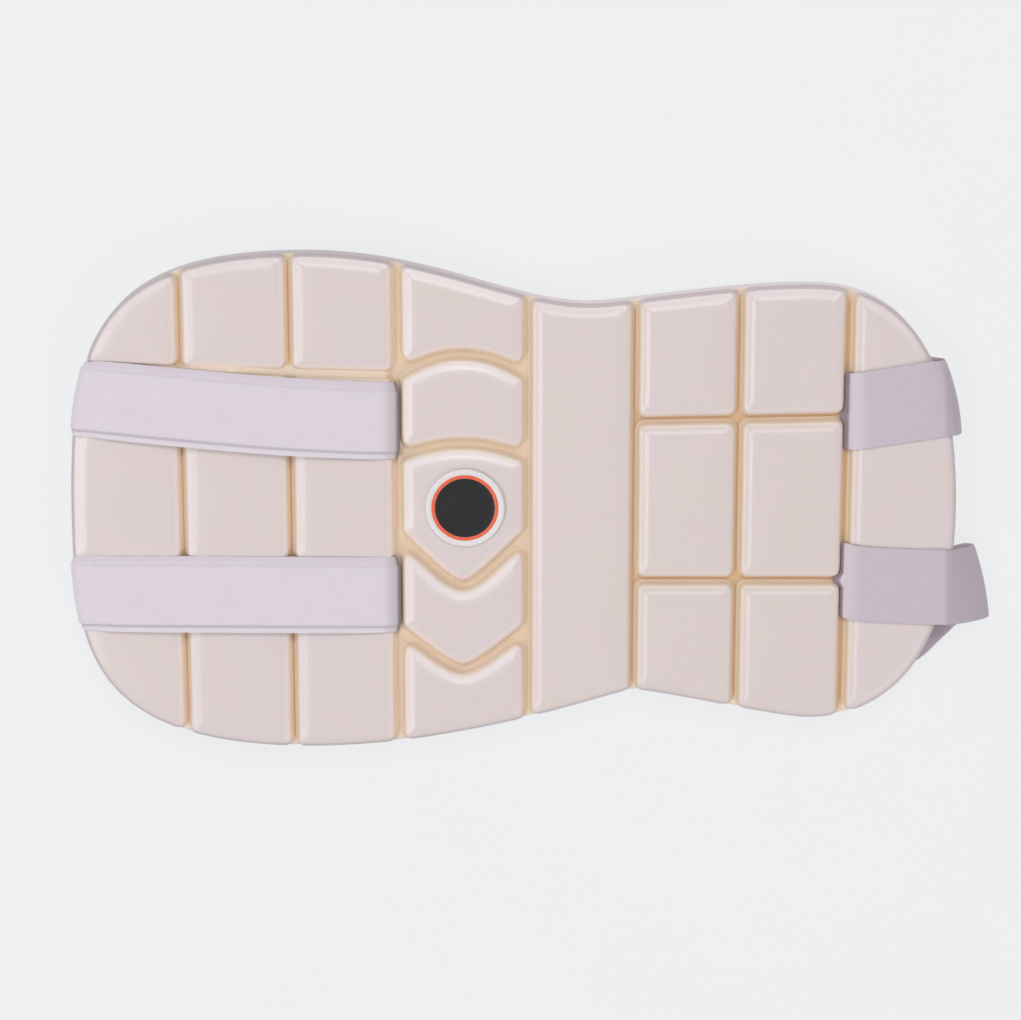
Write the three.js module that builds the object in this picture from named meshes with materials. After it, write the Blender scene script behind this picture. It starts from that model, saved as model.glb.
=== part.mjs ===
// Cricket chest guard, lying on its back with its blocks up.
// Millimetres. +X runs along the pad to its smaller end, +Y to its upper edge, +Z up from the floor.
import * as THREE from 'three';

// Thicknesses
const CLEARANCE = 0.3;
const ELASTIC = { width: 35, thick: 1.4 };
const TAPE = { width: 35, thick: 1.8 };
const BACKING_THICK = 11.2;

// Heights above the floor: straps run behind the pad, the pad rests on them
const ELASTIC_BACK = ELASTIC.thick / 2;
const TAPE_BACK = ELASTIC.thick + CLEARANCE + TAPE.thick / 2;
const PAD_BACK = TAPE_BACK + TAPE.thick / 2 + CLEARANCE;
const BACKING_TOP = PAD_BACK + BACKING_THICK;
const BLOCK_FOOT = BACKING_TOP + CLEARANCE;

// Pad outline: an anchor where the edge runs square, with the length of its curve handle on each side
const OUTLINE = [
  { at: 'left end', x: -199.4, y: -8, heading: 90, before: 56, after: 86 },
  { at: 'upper left crest', x: -92, y: 118.4, heading: 0, before: 96, after: 56 },
  { at: 'upper waist', x: 36, y: 95.4, heading: 0, before: 36, after: 12 },
  { at: 'upper right crest', x: 132, y: 104, heading: 0, before: 34, after: 18 },
  { at: 'right end', x: 202.3, y: -2, heading: -90, before: 106, after: 12 },
  { at: 'lower right crest', x: 136, y: -96.7, heading: 180, before: 66, after: 12 },
  { at: 'lower waist', x: 56, y: -83.4, heading: 180, before: 10, after: 6 },
  { at: 'lower left crest', x: -92, y: -110.5, heading: 180, before: 72, after: 102 },
];

// Upright grooves, from left to right, at their centre lines
const UPRIGHT = {
  first: { x: -148.5, width: 2.4 },
  second: { x: -99.4, width: 2.8 },
  tape: { x: -51.1, width: 4.0 },
  fourth: { x: 7.6, width: 3.4 },
  fifth: { x: 56, width: 3.2 },
  sixth: { x: 102.9, width: 3.2 },
  elastic: { x: 151.9, width: 4.0 },
};

// Grooves that cross a column
const ROW_WIDTH = 3.2;
const CURVE_WIDTH = 4.2;
const ARCH_MIDDLE = -21.8;
const ARCH_HALF = 28;
const CHEVRON_ROUNDING = 6.5;
const CROSSING = {
  left_upper: { width: ROW_WIDTH, height: (x) => 63.6 - 0.023 * (x + 54) },
  left_lower: { width: ROW_WIDTH, height: () => -24.3 },
  right_upper: { width: ROW_WIDTH, height: (x) => 43.6 + 0.02 * (x - 105) },
  right_lower: { width: ROW_WIDTH, height: () => -31.4 },
  upper_arch: { width: CURVE_WIDTH, height: (x) => arch(x, 73.1, 9.2) },
  lower_arch: { width: CURVE_WIDTH, height: (x) => arch(x, 32.4, 6.0) },
  upper_chevron: { width: CURVE_WIDTH, height: (x) => chevron(x, -33.5, 1.02) },
  lower_chevron: { width: CURVE_WIDTH, height: (x) => chevron(x, -73.0, 0.82) },
};

// Foam blocks: the grooves that bound each one; null is the pad's own edge
const BLOCKS = [
  { name: 'block_1_top', left: null, right: 'first', below: 'left_upper', above: null },
  { name: 'block_1_middle', left: null, right: 'first', below: 'left_lower', above: 'left_upper' },
  { name: 'block_1_bottom', left: null, right: 'first', below: null, above: 'left_lower' },
  { name: 'block_2_top', left: 'first', right: 'second', below: 'left_upper', above: null },
  { name: 'block_2_middle', left: 'first', right: 'second', below: 'left_lower', above: 'left_upper' },
  { name: 'block_2_bottom', left: 'first', right: 'second', below: null, above: 'left_lower' },
  { name: 'block_3_top', left: 'second', right: 'tape', below: 'left_upper', above: null },
  { name: 'block_3_middle', left: 'second', right: 'tape', below: 'left_lower', above: 'left_upper' },
  { name: 'block_3_bottom', left: 'second', right: 'tape', below: null, above: 'left_lower' },
  { name: 'crest_block', left: 'tape', right: 'fourth', below: 'upper_arch', above: null },
  { name: 'arch_block', left: 'tape', right: 'fourth', below: 'lower_arch', above: 'upper_arch' },
  { name: 'badge_block', left: 'tape', right: 'fourth', below: 'upper_chevron', above: 'lower_arch' },
  { name: 'chevron_block', left: 'tape', right: 'fourth', below: 'lower_chevron', above: 'upper_chevron' },
  { name: 'tail_block', left: 'tape', right: 'fourth', below: null, above: 'lower_chevron' },
  { name: 'waist_block', left: 'fourth', right: 'fifth', below: null, above: null },
  { name: 'block_6_top', left: 'fifth', right: 'sixth', below: 'right_upper', above: null },
  { name: 'block_6_middle', left: 'fifth', right: 'sixth', below: 'right_lower', above: 'right_upper' },
  { name: 'block_6_bottom', left: 'fifth', right: 'sixth', below: null, above: 'right_lower' },
  { name: 'block_7_top', left: 'sixth', right: 'elastic', below: 'right_upper', above: null },
  { name: 'block_7_middle', left: 'sixth', right: 'elastic', below: 'right_lower', above: 'right_upper' },
  { name: 'block_7_bottom', left: 'sixth', right: 'elastic', below: null, above: 'right_lower' },
  { name: 'end_block', left: 'elastic', right: null, below: null, above: null },
];

// Section of a block from its foot up: a low wall, then a sloped shoulder, then a low crown
const SHOULDER = [
  { up: 0, inset: 0 },
  { up: 1.9, inset: 0.3 },
  { up: 2.9, inset: 1.1 },
  { up: 4, inset: 2.4 },
];
const CROWN = { up: 5.1, reach: 0.4 };
const BLOCK_TALL = 5.3;
const CORNER_RADIUS = 2.7;

// How finely edges are traced, and how sharp a turn in degrees counts as a corner
const CURVE_POINTS = 90;
const SLICES = 160;
const TRACE_STEP = 0.5;
const TURN_REACH = 5;
const CORNER_TURN = 28;
const CORNER_SPACE = 12;
const OUTLINE_STEP = 10;

// Side of the backing from its underside up
const BACKING_SIDE = [
  { z: PAD_BACK, inset: 1.2 },
  { z: PAD_BACK + 1.2, inset: 0 },
  { z: BACKING_TOP, inset: 0 },
];

// Strap paths: middle of the strap, lean of its cross line in degrees, stations up to the next row
const TAPE_TOP = BLOCK_FOOT + BLOCK_TALL + CLEARANCE + TAPE.thick / 2;
const ELASTIC_TOP = BLOCK_FOOT + BLOCK_TALL + CLEARANCE + ELASTIC.thick / 2;
const UPPER_TAPE = [
  { x: -51, y: 42.9, z: 16.3, lean: 0, stations: 2 },
  { x: -51, y: 42.9, z: 17.7, lean: 0, stations: 2 },
  { x: -51.8, y: 42.9, z: 19.2, lean: 0, stations: 2 },
  { x: -54.8, y: 43.0, z: 20.9, lean: 0.5, stations: 2 },
  { x: -63, y: 43.3, z: TAPE_TOP, lean: 2, stations: 2 },
  { x: -99, y: 45.0, z: TAPE_TOP, lean: 4, stations: 2 },
  { x: -150, y: 49.4, z: TAPE_TOP, lean: 5, stations: 2 },
  { x: -184, y: 52.6, z: TAPE_TOP, lean: 8, stations: 2 },
  { x: -190.6, y: 52.9, z: 21.4, lean: 11, stations: 2 },
  { x: -195, y: 52.9, z: 18.9, lean: 13, stations: 2 },
  { x: -196.8, y: 52.8, z: 14.5, lean: 13.6, stations: 2 },
  { x: -196.9, y: 52.7, z: 9, lean: 13.6, stations: 2 },
  { x: -196.6, y: 52.6, z: 5.1, lean: 13.6, stations: 3 },
  { x: -194.6, y: 52.4, z: 2.4, lean: 13.4, stations: 3 },
  { x: -190, y: 51.9, z: 2.3, lean: 13, stations: 2 },
  { x: -182.5, y: 50.6, z: TAPE_BACK, lean: 12.5, stations: 3 },
  { x: -126, y: 38.4, z: TAPE_BACK, lean: 12, stations: 0 },
];
const LOWER_TAPE = [
  { x: -51, y: -37.7, z: 16.3, lean: 0, stations: 2 },
  { x: -51, y: -37.7, z: 17.7, lean: 0, stations: 2 },
  { x: -51.8, y: -37.7, z: 19.2, lean: 0, stations: 2 },
  { x: -54.8, y: -37.7, z: 20.9, lean: 0, stations: 2 },
  { x: -63, y: -37.7, z: TAPE_TOP, lean: 0, stations: 2 },
  { x: -120, y: -37.3, z: TAPE_TOP, lean: 0, stations: 3 },
  { x: -186, y: -37, z: TAPE_TOP, lean: 0, stations: 2 },
  { x: -194.4, y: -36.9, z: 21.4, lean: -2, stations: 2 },
  { x: -198.9, y: -37.2, z: 18.9, lean: -3, stations: 2 },
  { x: -200.5, y: -37.5, z: 14.5, lean: -3.4, stations: 2 },
  { x: -200.6, y: -37.5, z: 9, lean: -3.4, stations: 2 },
  { x: -200.4, y: -37.5, z: 5.1, lean: -3.4, stations: 3 },
  { x: -198.4, y: -37.5, z: 2.4, lean: -3.4, stations: 3 },
  { x: -193.8, y: -37.6, z: 2.3, lean: -1, stations: 2 },
  { x: -186, y: -37.9, z: TAPE_BACK, lean: 3, stations: 3 },
  { x: -126, y: -43, z: TAPE_BACK, lean: 5, stations: 0 },
];
const UPPER_ELASTIC = [
  { x: 150.9, y: 46.8, z: 16.1, lean: 0, stations: 2 },
  { x: 151.6, y: 46.8, z: 17, lean: 0, stations: 2 },
  { x: 152.8, y: 46.9, z: 18.5, lean: 0, stations: 2 },
  { x: 154.8, y: 47.2, z: 20.2, lean: -1, stations: 2 },
  { x: 157.5, y: 47.5, z: 21.3, lean: -3, stations: 2 },
  { x: 162, y: 48.2, z: ELASTIC_TOP, lean: -6, stations: 2 },
  { x: 182, y: 51.4, z: ELASTIC_TOP, lean: -10, stations: 2 },
  { x: 190, y: 52.6, z: 21.3, lean: -12, stations: 2 },
  { x: 196, y: 53.3, z: 18.8, lean: -13.5, stations: 2 },
  { x: 199.3, y: 53.5, z: 13.5, lean: -14, stations: 2 },
  { x: 199.8, y: 53.4, z: 8, lean: -14, stations: 2 },
  { x: 198.2, y: 53, z: 3.2, lean: -14.5, stations: 3 },
  { x: 193.8, y: 52, z: 0.9, lean: -15, stations: 2 },
  { x: 186, y: 49.8, z: ELASTIC_BACK, lean: -15.5, stations: 2 },
  { x: 140, y: 37.5, z: ELASTIC_BACK, lean: -14, stations: 2 },
  { x: 80, y: 26.5, z: ELASTIC_BACK, lean: -7, stations: 2 },
  { x: 20, y: 22.5, z: ELASTIC_BACK, lean: -1, stations: 2 },
  { x: -40, y: 24.5, z: ELASTIC_BACK, lean: 5, stations: 2 },
  { x: -90, y: 31, z: ELASTIC_BACK, lean: 10, stations: 2 },
  { x: -126, y: 38.4, z: ELASTIC_BACK, lean: 12, stations: 2 },
  { x: -172, y: 48.3, z: ELASTIC_BACK, lean: 12, stations: 0 },
];
const LOWER_ELASTIC = [
  { x: 150.9, y: -31.5, z: 16.1, lean: 0, stations: 2 },
  { x: 151.6, y: -31.5, z: 17, lean: 0, stations: 2 },
  { x: 152.8, y: -31.6, z: 18.5, lean: 0, stations: 2 },
  { x: 154.8, y: -31.8, z: 20.2, lean: 0, stations: 2 },
  { x: 157.5, y: -32.2, z: 21.3, lean: 0, stations: 2 },
  { x: 162, y: -32.7, z: ELASTIC_TOP, lean: 0, stations: 2 },
  { x: 186, y: -33.8, z: ELASTIC_TOP, lean: -1, stations: 2 },
  { x: 198, y: -34.2, z: 21.2, lean: -2, stations: 2 },
  { x: 206, y: -34.5, z: 18.2, lean: -6, stations: 2 },
  { x: 212.3, y: -34.7, z: 11.5, lean: -11, stations: 2 },
  { x: 216.2, y: -34.9, z: 5.4, lean: -13, stations: 3 },
  { x: 216.4, y: -35.1, z: 2.2, lean: -13.5, stations: 3 },
  { x: 213.2, y: -36.4, z: 0.9, lean: -15, stations: 2 },
  { x: 205.5, y: -40.5, z: ELASTIC_BACK, lean: -22, stations: 2 },
  { x: 189, y: -51.5, z: ELASTIC_BACK, lean: -32, stations: 2 },
  { x: 164, y: -64.5, z: ELASTIC_BACK, lean: -20, stations: 2 },
  { x: 130, y: -69.5, z: ELASTIC_BACK, lean: -3, stations: 2 },
  { x: 85, y: -65.5, z: ELASTIC_BACK, lean: 7, stations: 2 },
  { x: 30, y: -58.5, z: ELASTIC_BACK, lean: 7.5, stations: 2 },
  { x: -50, y: -49.5, z: ELASTIC_BACK, lean: 6, stations: 2 },
  { x: -126, y: -43, z: ELASTIC_BACK, lean: 5, stations: 2 },
  { x: -178, y: -38.5, z: ELASTIC_BACK, lean: 5, stations: 0 },
];

// Round badge: section from its underside up
const BADGE = { x: -20.6, y: 3, sides: 36 };
const BADGE_SECTION = [
  { up: 0, radius: 18 },
  { up: 1.1, radius: 18 },
  { up: 1.6, radius: 17.4 },
  { up: 1.6, radius: 15.4 },
  { up: 1.1, radius: 14.9 },
];

// Colours of the parts
const COLOURS = { foam: 0xe6dad9, backing: 0xc9a07c, tape: 0xe4dce4, elastic: 0xc7bac4, badge: 0x2c2c30 };

// A low arch that falls away on both sides of the column's middle
function arch(x, peak, fall) {
  return peak - fall * ((x - ARCH_MIDDLE) / ARCH_HALF) ** 2;
}

// A downward chevron with a rounded point
function chevron(x, point, slope) {
  return point + slope * (Math.hypot(x - ARCH_MIDDLE, CHEVRON_ROUNDING) - CHEVRON_ROUNDING);
}

// Closed curve of the pad's edge, clockwise from the left end
function padEdge() {
  const path = new THREE.CurvePath();
  OUTLINE.forEach((from, index) => {
    const to = OUTLINE[(index + 1) % OUTLINE.length];
    const start = new THREE.Vector2(from.x, from.y);
    const end = new THREE.Vector2(to.x, to.y);
    const leave = heading(from.heading).multiplyScalar(from.after).add(start);
    const arrive = heading(to.heading).multiplyScalar(-to.before).add(end);
    path.add(new THREE.CubicBezierCurve(start, leave, arrive, end));
  });
  return path;
}

function heading(degrees) {
  const angle = THREE.MathUtils.degToRad(degrees);
  return new THREE.Vector2(Math.cos(angle), Math.sin(angle));
}

// Moves every point of a closed counter-clockwise ring inward by the same distance
function inset(ring, distance) {
  const count = ring.length;
  return ring.map((point, index) => {
    const before = ring[(index + count - 1) % count];
    const after = ring[(index + 1) % count];
    const arriving = point.clone().sub(before).normalize();
    const leaving = after.clone().sub(point).normalize();
    const along = arriving.clone().add(leaving).normalize();
    const reach = distance / Math.max(0.5, along.dot(leaving));
    return new THREE.Vector2(point.x - along.y * reach, point.y + along.x * reach);
  });
}

// The pad's edge as a fine counter-clockwise ring
const FINE_EDGE = padEdge().curves.flatMap((curve) => curve.getPoints(CURVE_POINTS).slice(0, -1)).reverse();
const BLOCK_EDGE = inset(FINE_EDGE, CLEARANCE);
const LEFT_LIMIT = Math.min(...BLOCK_EDGE.map((point) => point.x));
const RIGHT_LIMIT = Math.max(...BLOCK_EDGE.map((point) => point.x));

// Lowest and highest point of the block edge on an upright line
function edgeSpan(x) {
  const crossings = [];
  BLOCK_EDGE.forEach((a, index) => {
    const b = BLOCK_EDGE[(index + 1) % BLOCK_EDGE.length];
    if ((a.x <= x) !== (b.x <= x)) {
      crossings.push(a.y + ((b.y - a.y) * (x - a.x)) / (b.x - a.x));
    }
  });
  return { low: Math.min(...crossings), high: Math.max(...crossings) };
}

// Half the width of a crossing groove, measured upright at x
function halfGroove(groove, x) {
  const slope = (groove.height(x + 0.05) - groove.height(x - 0.05)) / 0.1;
  return (groove.width / 2) * Math.hypot(1, slope);
}

// Fine counter-clockwise ring of one block's foot, with sharp corners
function cellRing(block) {
  const start = block.left ? UPRIGHT[block.left].x + UPRIGHT[block.left].width / 2 : LEFT_LIMIT;
  const stop = block.right ? UPRIGHT[block.right].x - UPRIGHT[block.right].width / 2 : RIGHT_LIMIT;
  const below = CROSSING[block.below];
  const above = CROSSING[block.above];
  const lower = [];
  const upper = [];
  for (let slice = 0; slice <= SLICES; slice += 1) {
    const even = slice / SLICES;
    let share = even;
    if (!block.left) share = even ** 2;
    if (!block.right) share = 1 - (1 - even) ** 2;
    const x = THREE.MathUtils.clamp(start + (stop - start) * share, LEFT_LIMIT + 1e-4, RIGHT_LIMIT - 1e-4);
    const { low, high } = edgeSpan(x);
    const bottom = below ? Math.max(low, below.height(x) + halfGroove(below, x)) : low;
    const top = above ? Math.min(high, above.height(x) - halfGroove(above, x)) : high;
    if (top - bottom > 0.02) {
      lower.push(new THREE.Vector2(x, bottom));
      upper.unshift(new THREE.Vector2(x, top));
    }
  }
  return evenRing([...lower, ...upper], TRACE_STEP);
}

// Steps round a closed ring at a nearly even spacing
function evenRing(ring, step) {
  const closed = [...ring, ring[0]];
  const lengths = [0];
  for (let index = 1; index < closed.length; index += 1) {
    lengths.push(lengths[index - 1] + closed[index].distanceTo(closed[index - 1]));
  }
  const total = lengths[lengths.length - 1];
  const count = Math.round(total / step);
  const points = [];
  let index = 0;
  for (let turn = 0; turn < count; turn += 1) {
    const target = (total * turn) / count;
    while (lengths[index + 1] < target) index += 1;
    const share = (target - lengths[index]) / (lengths[index + 1] - lengths[index] || 1);
    points.push(closed[index].clone().lerp(closed[index + 1], share));
  }
  return points;
}

// Turn in degrees at each point of a fine ring, measured over a few steps to each side
function turns(ring) {
  const count = ring.length;
  return ring.map((point, index) => {
    const arriving = point.clone().sub(ring[(index + count - TURN_REACH) % count]);
    const leaving = ring[(index + TURN_REACH) % count].clone().sub(point);
    const cross = arriving.cross(leaving);
    return THREE.MathUtils.radToDeg(Math.atan2(cross, arriving.dot(leaving)));
  });
}

// Coarse ring with its sharp corners rounded and its sides stepped evenly
function roundedRing(ring) {
  const turn = turns(ring);
  const count = ring.length;
  const corners = [];
  for (let index = 0; index < count; index += 1) {
    let sharpest = turn[index] > CORNER_TURN;
    for (let offset = -CORNER_SPACE; offset <= CORNER_SPACE; offset += 1) {
      const other = turn[(index + offset + count) % count];
      if (other > turn[index] || (other === turn[index] && offset < 0)) sharpest = false;
    }
    if (sharpest) corners.push(index);
  }
  const sides = corners.map((from, side) => {
    const to = corners[(side + 1) % corners.length];
    const length = (to - from + count) % count;
    return Array.from({ length: length + 1 }, (unused, step) => ring[(from + step) % count]);
  });
  const trims = corners.map((index) => {
    const inside = THREE.MathUtils.degToRad(180 - Math.min(120, turn[index])) / 2;
    return (CORNER_RADIUS * Math.cos(inside)) / Math.sin(inside) ** 2;
  });
  const spacing = ring[0].distanceTo(ring[1]);
  const trimmed = sides.map((side, index) => {
    const first = Math.round(trims[index] / spacing);
    const last = side.length - 1 - Math.round(trims[(index + 1) % trims.length] / spacing);
    return side.slice(first, last + 1);
  });
  const points = [];
  trimmed.forEach((side, index) => {
    const steps = 2 * Math.max(1, Math.round((side.length * spacing) / (2 * OUTLINE_STEP)));
    for (let step = 0; step <= steps; step += 1) {
      points.push(side[Math.round(((side.length - 1) * step) / steps)]);
    }
    const next = trimmed[(index + 1) % trimmed.length];
    const corner = ring[corners[(index + 1) % corners.length]];
    const bend = new THREE.QuadraticBezierCurve(side[side.length - 1], corner, next[0]);
    [0.25, 0.5, 0.75].forEach((share) => points.push(bend.getPoint(share)));
  });
  return points;
}

// Closed solid from points and triangles
function solid(name, points, triangles, colour) {
  const geometry = new THREE.BufferGeometry();
  const numbers = points.flatMap((point) => point.toArray());
  geometry.setAttribute('position', new THREE.Float32BufferAttribute(numbers, 3));
  geometry.setIndex(triangles.flat());
  geometry.computeVertexNormals();
  const material = new THREE.MeshStandardMaterial({ color: colour, roughness: 0.7 });
  const mesh = new THREE.Mesh(geometry, material);
  mesh.name = name;
  return mesh;
}

// Triangles of the walls between rings of equal count, counter-clockwise seen from the last ring's side
function wallTriangles(rings, count) {
  const triangles = [];
  for (let ring = 0; ring + 1 < rings; ring += 1) {
    for (let step = 0; step < count; step += 1) {
      const a = ring * count + step;
      const b = ring * count + ((step + 1) % count);
      triangles.push([a, b, b + count], [a, b + count, a + count]);
    }
  }
  return triangles;
}

function lift(ring, z) {
  return ring.map((point) => new THREE.Vector3(point.x, point.y, z));
}

// Middle of the area inside a ring
function middle(ring) {
  const area = THREE.ShapeUtils.area(ring);
  const sum = new THREE.Vector2();
  ring.forEach((a, index) => {
    const b = ring[(index + 1) % ring.length];
    sum.add(a.clone().add(b).multiplyScalar(a.cross(b)));
  });
  return sum.divideScalar(6 * area);
}

// One pressed foam block: walls, shoulder, crown and a flat foot
function makeBlock(block) {
  const foot = roundedRing(cellRing(block));
  const count = foot.length;
  const rings = SHOULDER.map((row) => lift(inset(foot, row.inset), BLOCK_FOOT + row.up));
  const heart = middle(foot);
  const last = inset(foot, SHOULDER[SHOULDER.length - 1].inset);
  rings.push(lift(last.map((point) => point.clone().lerp(heart, CROWN.reach)), BLOCK_FOOT + CROWN.up));
  const points = rings.flat();
  const triangles = wallTriangles(rings.length, count);
  const summit = points.push(new THREE.Vector3(heart.x, heart.y, BLOCK_FOOT + BLOCK_TALL)) - 1;
  const rim = (rings.length - 1) * count;
  for (let step = 0; step < count; step += 1) {
    triangles.push([rim + step, rim + ((step + 1) % count), summit]);
  }
  THREE.ShapeUtils.triangulateShape(foot, []).forEach(([a, b, c]) => triangles.push([a, c, b]));
  return solid(block.name, points, triangles, COLOURS.foam);
}

// Foam base sheet under every block
function makeBacking() {
  const edge = evenRing(FINE_EDGE, OUTLINE_STEP);
  const rings = BACKING_SIDE.map((row) => lift(inset(edge, row.inset), row.z));
  const count = edge.length;
  const triangles = wallTriangles(rings.length, count);
  const top = (rings.length - 1) * count;
  const flat = THREE.ShapeUtils.triangulateShape(edge, []);
  flat.forEach(([a, b, c]) => triangles.push([a, c, b], [top + a, top + b, top + c]));
  return solid('backing', rings.flat(), triangles, COLOURS.backing);
}

// Ribbon swept along its two edge lines, with a rectangular section
function makeStrap(name, rows, size, colour) {
  const edgeLine = (side) => new THREE.CatmullRomCurve3(rows.map((row) => {
    const lean = THREE.MathUtils.degToRad(row.lean);
    const reach = (side * size.width) / 2;
    return new THREE.Vector3(row.x + reach * Math.sin(lean), row.y + reach * Math.cos(lean), row.z);
  }), false, 'centripetal');
  const lowerEdge = edgeLine(-1);
  const upperEdge = edgeLine(1);
  const shares = [];
  rows.slice(0, -1).forEach((row, index) => {
    for (let step = 0; step < row.stations; step += 1) {
      shares.push((index + step / row.stations) / (rows.length - 1));
    }
  });
  shares.push(1);
  const across = 3;
  const points = [];
  shares.forEach((share) => {
    const low = lowerEdge.getPoint(share);
    const high = upperEdge.getPoint(share);
    const ahead = lowerEdge.getTangent(share).add(upperEdge.getTangent(share));
    const normal = ahead.cross(high.clone().sub(low)).normalize();
    const faces = [-1, 1].map((face) => Array.from({ length: across }, (unused, step) => (
      low.clone().lerp(high, step / (across - 1)).addScaledVector(normal, (face * size.thick) / 2)
    )));
    points.push(...faces[0], ...faces[1].reverse());
  });
  points.forEach((point) => point.setZ(Math.max(point.z, 0)));
  const count = across * 2;
  const triangles = wallTriangles(shares.length, count);
  const finish = (shares.length - 1) * count;
  for (let step = 0; step + 1 < across; step += 1) {
    const facing = count - 1 - step;
    triangles.push([step, facing, facing - 1], [step, facing - 1, step + 1]);
    const start = finish + step;
    const opposite = finish + facing;
    triangles.push([start, opposite - 1, opposite], [start, start + 1, opposite - 1]);
  }
  return solid(name, points, triangles, colour);
}

// Round badge with a raised rim
function makeBadge() {
  const foot = BLOCK_FOOT + BLOCK_TALL + CLEARANCE;
  const rings = BADGE_SECTION.map((row) => Array.from({ length: BADGE.sides }, (unused, side) => {
    const spoke = heading((360 * side) / BADGE.sides).multiplyScalar(row.radius);
    return new THREE.Vector3(BADGE.x + spoke.x, BADGE.y + spoke.y, foot + row.up);
  }));
  const triangles = wallTriangles(rings.length, BADGE.sides);
  const top = (rings.length - 1) * BADGE.sides;
  for (let side = 1; side + 1 < BADGE.sides; side += 1) {
    triangles.push([0, side + 1, side], [top, top + side, top + side + 1]);
  }
  return solid('badge', rings.flat(), triangles, COLOURS.badge);
}

const group = new THREE.Group();
group.add(makeBacking());
BLOCKS.forEach((block) => group.add(makeBlock(block)));
group.add(makeStrap('upper_tape', UPPER_TAPE, TAPE, COLOURS.tape));
group.add(makeStrap('lower_tape', LOWER_TAPE, TAPE, COLOURS.tape));
group.add(makeStrap('upper_elastic', UPPER_ELASTIC, ELASTIC, COLOURS.elastic));
group.add(makeStrap('lower_elastic', LOWER_ELASTIC, ELASTIC, COLOURS.elastic));
group.add(makeBadge());

// The shared frame starts under the middle of the whole guard
const extent = new THREE.Box3().setFromObject(group);
const centre = extent.getCenter(new THREE.Vector3());
group.children.forEach((mesh) => mesh.geometry.translate(-centre.x, -centre.y, -extent.min.z));

export default group;
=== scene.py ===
# %% [markdown]
# # A cricket chest guard
# The guard is a sheet of foam with raised blocks pressed into it, two sewn tapes at its wide end and two
# elastics at its narrow end. The solids in the frame already have the right size and place.
# We could model every block again by hand, but it would drift away from its solid. Here each piece
# reads its outline from the frame, so the fine surface and the solid stay together.

# %% The fixed frame
import math

import bpy
import numpy as np
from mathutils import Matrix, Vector, geometry, noise


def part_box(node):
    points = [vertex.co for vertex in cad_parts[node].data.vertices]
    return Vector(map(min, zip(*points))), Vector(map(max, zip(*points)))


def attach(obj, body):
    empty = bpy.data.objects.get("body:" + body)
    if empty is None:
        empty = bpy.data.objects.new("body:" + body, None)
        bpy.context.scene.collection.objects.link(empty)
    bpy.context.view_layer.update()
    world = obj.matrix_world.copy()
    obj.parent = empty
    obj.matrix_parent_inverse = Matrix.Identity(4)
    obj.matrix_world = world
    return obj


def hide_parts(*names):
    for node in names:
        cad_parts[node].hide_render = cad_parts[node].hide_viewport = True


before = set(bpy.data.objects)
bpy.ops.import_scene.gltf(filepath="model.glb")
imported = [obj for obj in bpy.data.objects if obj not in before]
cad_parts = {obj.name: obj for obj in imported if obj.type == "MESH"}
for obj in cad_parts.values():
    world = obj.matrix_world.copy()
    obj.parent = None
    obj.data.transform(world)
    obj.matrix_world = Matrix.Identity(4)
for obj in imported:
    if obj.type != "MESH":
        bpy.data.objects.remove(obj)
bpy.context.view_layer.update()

MM = 0.001


def add_object(name, data):
    """A new object in the scene."""
    made = bpy.data.objects.new(name, data)
    bpy.context.scene.collection.objects.link(made)
    return made


# %% [markdown]
# ## Camera
# The guard lies on its back and is seen from almost straight above, from a little beyond its upper edge,
# through a long lens. The sizes below are in the pad's own drawing, in millimetres from the pad's middle.
# The frame has its origin under the whole guard instead, so the round badge, which both of them know,
# tells us how far apart the two origins lie.

# %% Drawing and camera
BADGE_PLACE = (-20.6, 3.0)
badge_low, badge_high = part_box("badge")
badge_middle = (badge_low + badge_high) / (2 * MM)
DRAWING = np.array([badge_middle.x - BADGE_PLACE[0], badge_middle.y - BADGE_PLACE[1]])

LENS = 105.0
SENSOR = 36.0
CAMERA_REACH = 1357.0
CAMERA_TILT = math.radians(12.5)
LOOK_HEIGHT = 12.0

camera = add_object("camera", bpy.data.cameras.new("camera"))
camera.data.lens = LENS
camera.data.sensor_width = SENSOR
camera_target = Vector((*DRAWING, LOOK_HEIGHT)) * MM
lean_back = Vector((0, math.sin(CAMERA_TILT), math.cos(CAMERA_TILT)))
camera.location = camera_target + lean_back * CAMERA_REACH * MM
camera.rotation_euler = (-CAMERA_TILT, 0, 0)
bpy.context.scene.camera = camera
print("drawing origin in the frame, mm:", DRAWING.round(3))

# %% [markdown]
# ## Light
# A pale studio: soft light from all round, one broad lamp high on the left, one beyond the upper edge and
# a weak one across from them. The first two give the shoulders on their sides a bright line, the third
# lifts the other side.
# Small lamps would draw hard shadows in the grooves, and near ones would leave the far end dim, so these
# are wide and stand some metres off.

# %% Studio light
def studio_lamp(name, place, size, power):
    """A square lamp that faces the guard. Its place is in metres from the middle of the guard."""
    lamp = bpy.data.lights.new(name, "AREA")
    lamp.size = size
    lamp.energy = power
    stand = add_object(name, lamp)
    stand.location = camera_target + Vector(place)
    stand.rotation_euler = (-Vector(place)).to_track_quat("-Z", "Y").to_euler()


studio_lamp("left_lamp", place=(-2.3, -0.6, 3.1), size=1.2, power=44.0)
studio_lamp("upper_lamp", place=(0.1, 2.2, 3.3), size=1.2, power=46.0)
studio_lamp("fill_lamp", place=(1.8, -2.4, 2.8), size=1.8, power=26.0)

SKY_STRENGTH = 0.42
sky = bpy.data.worlds.new("studio")
sky.use_nodes = True
sky.node_tree.nodes["Background"].inputs["Color"].default_value = (1.0, 1.0, 1.0, 1.0)
sky.node_tree.nodes["Background"].inputs["Strength"].default_value = SKY_STRENGTH
bpy.context.scene.world = sky
bpy.context.scene.view_settings.view_transform = "Standard"

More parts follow.
